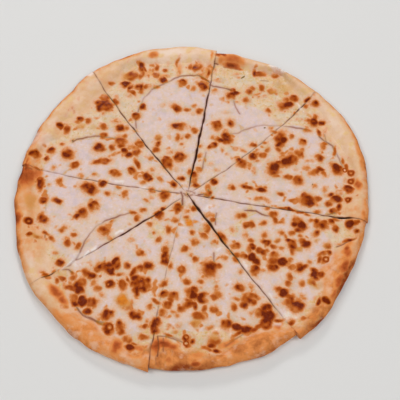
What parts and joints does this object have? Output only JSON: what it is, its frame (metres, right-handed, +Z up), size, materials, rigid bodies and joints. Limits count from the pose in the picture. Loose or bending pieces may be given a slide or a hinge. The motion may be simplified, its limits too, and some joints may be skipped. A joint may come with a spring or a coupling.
{
  "type": "cheese pizza",
  "caption": "Flat round baked cheese pizza with a low uneven rim, cut through from the middle to the edge into slices that still lie together.",
  "frame": {"origin": "middle of the pizza's outline, on the surface it lies on", "axes": "+Z up out of the cheese; +X to the right and +Y away from the viewer, as the slices are named"},
  "size_m": [0.3184, 0.3238, 0.0108],
  "materials": {
    "dough": "pale golden baked dough, dry and matt, toasted brown in places",
    "cheese": "melted white cheese, soft gloss, with small browned blisters"
  },
  "bodies": {
    "root": {"dough_right": "dough", "cheese_right": "cheese", "dough_upper_right": "dough", "cheese_upper_right": "cheese", "dough_top": "dough", "cheese_top": "cheese", "dough_upper_left": "dough", "cheese_upper_left": "cheese", "dough_left": "dough", "cheese_left": "cheese", "dough_lower_left": "dough", "cheese_lower_left": "cheese", "dough_bottom": "dough", "cheese_bottom": "cheese", "dough_lower_right": "dough", "cheese_lower_right": "cheese"}
  },
  "joints": []
}
